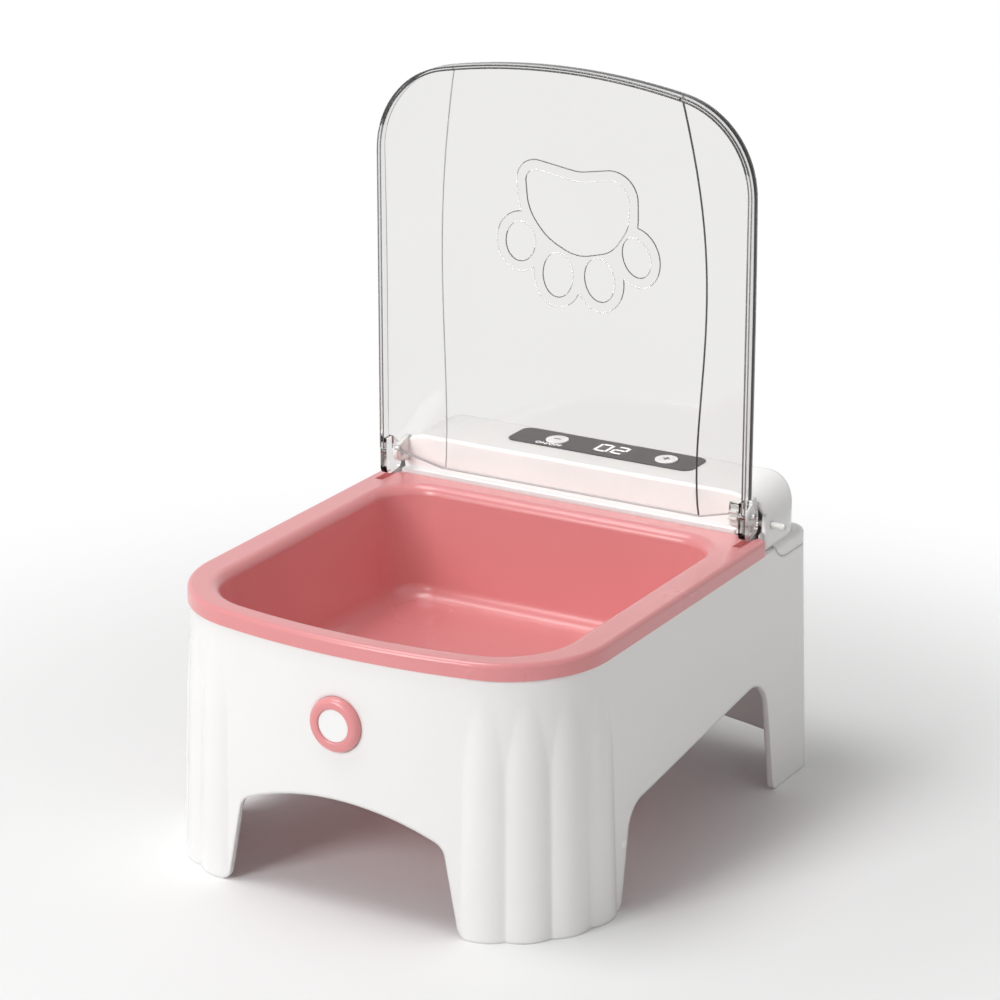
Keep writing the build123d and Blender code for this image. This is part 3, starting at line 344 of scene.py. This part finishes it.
# %% Works inside
works_grey = moulded("works_grey", (0.1, 0.105, 0.11), (0.085, 0.09, 0.095), gloss=(0.4, 0.55))
gear_white = moulded("gear_white", (0.75, 0.75, 0.72), (0.7, 0.7, 0.67), gloss=(0.4, 0.5))
board_green = moulded("board_green", (0.01, 0.1, 0.035), (0.008, 0.07, 0.03), gloss=(0.25, 0.4))
lead_jacket = moulded("lead_jacket", (0.02, 0.02, 0.02), (0.015, 0.015, 0.015), gloss=(0.45, 0.6))
cell_wrap = moulded("cell_wrap", (0.02, 0.12, 0.35), (0.015, 0.1, 0.3), gloss=(0.25, 0.35))
plain_steel = moulded(
    "plain_steel",
    (0.55, 0.55, 0.56),
    (0.48, 0.48, 0.5),
    gloss=(0.25, 0.4),
    peel_size=2500.0,
    peel=0.05,
)
set_on_shader(plain_steel, Metallic=1.0)

# %% [markdown]
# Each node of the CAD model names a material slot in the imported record, such as white_shell. Going
# through the record gives every node its finish in one loop, and a node can't be forgotten.

# %% Give every CAD node its finish
finish_of_slot = {
    "white_shell": white_shell,
    "pink_tray": pink_plastic,
    "clear_lid": clear_plastic,
    "white_lens": milky_lens,
    "black_panel": panel_film,
    "white_button": button_white,
    "white_gear": gear_white,
    "grey_works": works_grey,
    "green_board": board_green,
    "cable": lead_jacket,
    "battery_wrap": cell_wrap,
    "steel": plain_steel,
}
for subpart in frame["record"]["subparts"]:
    node = nodes[subpart["node"]]
    node.material_slots[0].material = finish_of_slot[subpart["material_slot"]]

# %% [markdown]
# A clear sheet casts hardly any shadow, but a path tracer treats it as solid for lamps. The lid is
# left out of shadow rays, so that the tray and the box behind it are lit as through real clear
# plastic.

# %% Let the light through the lid
lid_node = nodes["lid"]
lid_node.visible_shadow = False
print("lid casts a shadow:", lid_node.visible_shadow)

# %% [markdown]
# ## Lines of the clear lid
# A sheet of clear plastic shows almost only at its edges: light that enters there is led away inside
# it, so each edge, each bend and the raised paw outline shows as a thin line, most of them dark. A
# path tracer finds little of this in a thin shell, so each of these edges gets a thin opaque bead.
# The bead's grey is painted shade, and on the paw walls that look down it is a painted highlight.
# The beads aren't drawn by hand. A merged copy of the lid is searched for the edges that stick out,
# sorted into rim, bends and paw. Those edges are drawn in a little, so that the bead lies inside
# the sheet, and turned into curves with a round section.


# %% Helper: a copy of some edges of a mesh, drawn in below the surface
def chosen_edges(source, name, wanted, inset):
    """A mesh of only those edges for which wanted(edge, angle) is true, moved in by inset."""
    shape = bmesh.new()
    shape.from_mesh(source.data)
    bmesh.ops.remove_doubles(shape, verts=shape.verts, dist=1e-6)
    shape.normal_update()
    kept = set()
    for edge in shape.edges:
        if len(edge.link_faces) == 2 and wanted(edge, edge.calc_face_angle_signed(0.0)):
            kept.add(edge)
    for vert in shape.verts:
        vert.co -= vert.normal * inset
    bmesh.ops.delete(shape, geom=shape.faces[:], context="FACES_ONLY")
    loose = [edge for edge in shape.edges if edge not in kept]
    bmesh.ops.delete(shape, geom=loose, context="EDGES")
    mesh = bpy.data.meshes.new(name)
    shape.to_mesh(mesh)
    shape.free()
    return mesh


# %% Helper: a round bead along a mesh of edges
def round_bead(line_mesh, name, radius, finish):
    """Turn a mesh of edges into a smooth round bead and return its object."""
    line = bpy.data.objects.new(name + "_line", line_mesh)
    bpy.context.scene.collection.objects.link(line)
    for other in bpy.context.selected_objects:
        other.select_set(False)
    bpy.context.view_layer.objects.active = line
    line.select_set(True)
    bpy.ops.object.convert(target="CURVE")
    line = bpy.context.view_layer.objects.active
    line.data.bevel_depth = radius
    line.data.bevel_resolution = 1
    line.data.use_fill_caps = True
    evaluated = line.evaluated_get(bpy.context.evaluated_depsgraph_get())
    solid = bpy.data.meshes.new_from_object(evaluated)
    solid.name = name
    bpy.data.objects.remove(line)
    solid.materials.clear()
    solid.materials.append(finish)
    for polygon in solid.polygons:
        polygon.use_smooth = True
    bead = bpy.data.objects.new(name, solid)
    bpy.context.scene.collection.objects.link(bead)
    bead.visible_shadow = False
    print("bead:", name, len(solid.polygons), "faces")
    return bead


# %% [markdown]
# Each kind of line is a test on one edge. An edge is told by its place on the lid, by how sharply
# its two faces meet, and for the paw by the way that the wall beside it looks. The angle is in
# radians and is positive on an edge that sticks out. A bend runs up the lid, so at least the steep
# share of its edge's length has to be height.

# %% Where the lines of the lid lie, and how sharp they are
sharp_angle = 0.6
bend_angle = 0.03
steep_share = 0.9
lug_inside = 0.0905
lug_top = 0.15
top_rim_start = 0.292
above_lid = 1.0
paw_half_width = 0.052
paw_bottom = 0.205
paw_top = 0.3
bend_nearest = 0.052
bend_furthest = 0.0685
print("the paw lies between", paw_bottom, "and", paw_top, "m")


# %% Tests for the rim, the lower border and the bends
def in_paw(edge):
    """Whether an edge belongs to the raised paw."""
    return all(
        abs(vert.co.x) < paw_half_width and paw_bottom < vert.co.z < paw_top for vert in edge.verts
    )


def rim_between(low, high):
    """A test for the sharp edges outside the paw that reach into a range of heights."""
    def wanted(edge, angle):
        reach = max(vert.co.z for vert in edge.verts)
        return angle > sharp_angle and low < reach <= high and not in_paw(edge)
    return wanted


def lower_border(edge, angle):
    """Whether a sharp edge runs along the lid's lower border between the hinge lugs."""
    return angle > sharp_angle and all(
        abs(vert.co.x) < lug_inside and vert.co.z < lug_top for vert in edge.verts
    )


def bend_on(side):
    """A test for the edges that run up the lid's bend on one side, -1 or 1."""
    def wanted(edge, angle):
        low, high = sorted(edge.verts, key=lambda vert: vert.co.z)
        steep = high.co.z - low.co.z > steep_share * edge.calc_length()
        return angle > bend_angle and steep and all(
            bend_nearest < side * vert.co.x < bend_furthest for vert in edge.verts
        )
    return wanted


# %% Tests for the paw
light_from_right = 0.6
light_from_above = 0.8


def wall_lean(edge):
    """How far the steep face beside an edge of the paw looks up and to the right, from -1 to 1."""
    wall = min(edge.link_faces, key=lambda face: abs(face.normal.y))
    return light_from_right * wall.normal.x + light_from_above * wall.normal.z


def paw_wall_leaning(least, most):
    """A test for the sharp edges of the paw whose wall leans by an amount in a range."""
    def wanted(edge, angle):
        return angle > sharp_angle and in_paw(edge) and least < wall_lean(edge) <= most
    return wanted


# %% [markdown]
# The painted shade of the rim is darkest along the top. The sides are lighter, and the lower border
# and the left-hand bend are faint, while the right-hand bend is a strong line. The raised paw is a
# step of half a millimetre. Light from above makes its walls that look up darker and the walls that
# look down brighter, so its beads are sorted by that lean into painted shade, plain grey and painted
# highlight. Each row below is one bead: its name, the test for its edges, its radius in metres and
# its finish.

# %% Beads of the lid
shaded_from = 0.2
bright_up_to = -0.35
full_lean = 2.0
paw_radius = 0.00022
lid_lines = (
    ("lid_top_rim_bead", rim_between(top_rim_start, above_lid), 0.0004, painted_dark_edge),
    ("lid_side_rim_bead", rim_between(lug_top, top_rim_start), 0.0003, side_edge),
    ("lid_lower_bead", lower_border, 0.0003, faint_edge),
    ("lid_left_bend_bead", bend_on(-1), 0.00034, faint_edge),
    ("lid_right_bend_bead", bend_on(1), 0.00052, painted_dark_edge),
    ("lid_paw_shaded_bead", paw_wall_leaning(shaded_from, full_lean), paw_radius, shaded_edge),
    ("lid_paw_plain_bead", paw_wall_leaning(bright_up_to, shaded_from), paw_radius, faint_edge),
    ("lid_paw_bright_bead", paw_wall_leaning(-full_lean, bright_up_to), paw_radius, painted_highlight_edge),
)
depth_in_radii = 1.4
for name, wanted, radius, finish in lid_lines:
    edge_mesh = chosen_edges(lid_node, name + "_line", wanted, radius * depth_in_radii)
    bead = round_bead(edge_mesh, name, radius, finish)
    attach(bead, "lid")
print("beads:", len(lid_lines))

# %% [markdown]
# ## Signs on the control panel
# The display shows its count in two lit digits, each on the usual pattern of seven bars. Each bar
# is a grid of one face that is stretched to size and then extruded by a tenth of a millimetre. The
# window behind the digits and the signs on the buttons are made in the same way, so they share two
# helpers.


# %% Helpers: thin raised bars
def bar(shape, middle, length, width, turn=0.0):
    """Add a flat bar to a bmesh, lying level at middle."""
    made = bmesh.ops.create_grid(shape, x_segments=1, y_segments=1, size=0.5)["verts"]
    bmesh.ops.scale(shape, vec=(length, width, 1.0), verts=made)
    bmesh.ops.rotate(shape, cent=(0, 0, 0), matrix=Matrix.Rotation(turn, 3, "Z"), verts=made)
    bmesh.ops.translate(shape, vec=middle, verts=made)


def raise_bars(shape, name, height, finish, body):
    """Give the flat faces of a bmesh a height and make them a piece on a body."""
    raised = bmesh.ops.extrude_face_region(shape, geom=shape.faces[:])["geom"]
    top = [item for item in raised if isinstance(item, bmesh.types.BMVert)]
    bmesh.ops.translate(shape, vec=(0, 0, height), verts=top)
    bmesh.ops.recalc_face_normals(shape, faces=shape.faces)
    mesh = bpy.data.meshes.new(name)
    shape.to_mesh(mesh)
    shape.free()
    piece = bpy.data.objects.new(name, mesh)
    bpy.context.scene.collection.objects.link(piece)
    mesh.materials.append(finish)
    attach(piece, body)
    print("piece:", name, len(mesh.polygons), "faces")


# %% [markdown]
# All marks lie on the film, so their places are counted from its middle, as the frame knows it.
#
# The window of the display is a slightly lighter, glossier patch of the film with rounded corners.
# It stands only a few hundredths of a millimetre proud, enough to be seen apart from the film.

# %% Middle and top of the film
panel_low, panel_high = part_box("control_panel")
panel_x = (panel_low[0] + panel_high[0]) / 2
panel_y = (panel_low[1] + panel_high[1]) / 2
film_top = panel_high[2]
print("film's middle:", round(panel_x, 4), round(panel_y, 4), "top:", round(film_top, 4))

# %% Window of the display
display_x = panel_x + 0.0029
display_y = panel_y + 0.0002
window_length = 0.0176
window_width = 0.0118
window_corner = 0.0014
window_height = 0.00006
window_glass = moulded(
    "window_glass", (0.075, 0.075, 0.077), (0.06, 0.06, 0.062), gloss=(0.1, 0.16)
)
window = bmesh.new()
bar(window, (display_x, display_y, film_top), window_length, window_width)
bmesh.ops.bevel(
    window,
    geom=window.verts[:],
    offset=window_corner,
    segments=5,
    profile=0.5,
    affect="VERTICES",
    material=-1,
)
raise_bars(window, "display_window", window_height, window_glass, "stand")

# %% [markdown]
# A digit is a set of named bars, so it is written down as words and not as drawn shapes.
# Neighbouring bars keep a small gap, as the lit bars of a real display do. Their white glows a
# little, which is set on the shader's emission.

# %% Lit digits
lit_white = moulded("lit_white", (0.9, 0.9, 0.9), (0.86, 0.86, 0.86), gloss=(0.4, 0.5))
set_on_shader(lit_white, Emission_Color=white, Emission_Strength=0.55)
digit_level = film_top + window_height
digit_width = 0.0058
digit_height = 0.0088
digit_offset = 0.0042
digit_raise = 0.00012
stroke = 0.0012
bar_gap = 0.0003
bars_of_digit = {
    "0": ("top", "bottom", "upper_left", "upper_right", "lower_left", "lower_right"),
    "2": ("top", "middle", "bottom", "upper_right", "lower_left"),
}
height_of_bar = {"top": 0.5, "upper": 0.25, "middle": 0.0, "lower": -0.25, "bottom": -0.5}
digits = bmesh.new()
for digit, place in (("0", display_x - digit_offset), ("2", display_x + digit_offset)):
    for side in bars_of_digit[digit]:
        level = display_y + height_of_bar[side.split("_")[0]] * digit_height
        if "_" in side:
            across = (digit_width / 2) * (-1 if side.endswith("left") else 1)
            bar(digits, (place + across, level, digit_level), stroke, digit_height / 2 - bar_gap)
        else:
            bar(digits, (place, level, digit_level), digit_width - stroke - bar_gap, stroke)
raise_bars(digits, "display_digits", digit_raise, lit_white, "stand")

# %% [markdown]
# The buttons carry a minus and a plus in dark grey. Each sign lies on top of its button and rides
# on the button's own body, so that it goes down with it. The plus is the minus and a second bar
# across it.

# %% Minus and plus on the buttons
sign_grey = moulded("sign_grey", (0.09, 0.09, 0.095), (0.07, 0.07, 0.075), gloss=(0.4, 0.5))
sign_length = 0.0036
sign_width = 0.0008
sign_raise = 0.0001
for button, turns in (("minus_button", (0.0,)), ("plus_button", (0.0, pi / 2))):
    low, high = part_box(button)
    sign_middle = ((low[0] + high[0]) / 2, (low[1] + high[1]) / 2, high[2])
    sign = bmesh.new()
    for turn in turns:
        bar(sign, sign_middle, sign_length, sign_width, turn)
    raise_bars(sign, button.split("_")[0] + "_sign", sign_raise, sign_grey, button)

# %% [markdown]
# The small words under the left button are printed in white. They share the lit white of the digits,
# so this print also glows a little, which is painted light. Text is the easiest way to set letters
# in Blender. It is turned into a mesh first and moved to its place after that, so that the finished
# piece's object stays at the origin.

# %% Words under the left button
words_x = panel_x - 0.0267
words_y = panel_y - 0.0084
words_half_height = 0.00005
words = bpy.data.curves.new("on_off_words", "FONT")
words.body = "ON/OFF"
words.size = 0.0036
words.align_x = "CENTER"
words.extrude = words_half_height
words.space_character = 1.05
word_line = bpy.data.objects.new("on_off_words_line", words)
bpy.context.scene.collection.objects.link(word_line)
evaluated_words = word_line.evaluated_get(bpy.context.evaluated_depsgraph_get())
word_mesh = bpy.data.meshes.new_from_object(evaluated_words)
bpy.data.objects.remove(word_line)
word_mesh.transform(Matrix.Translation((words_x, words_y, film_top + words_half_height)))
word_mesh.materials.clear()
# the print takes the digits' glowing white: a painted glow
word_mesh.materials.append(lit_white)
on_off = bpy.data.objects.new("on_off_words", word_mesh)
bpy.context.scene.collection.objects.link(on_off)
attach(on_off, "stand")
print("words:", len(word_mesh.polygons), "faces")
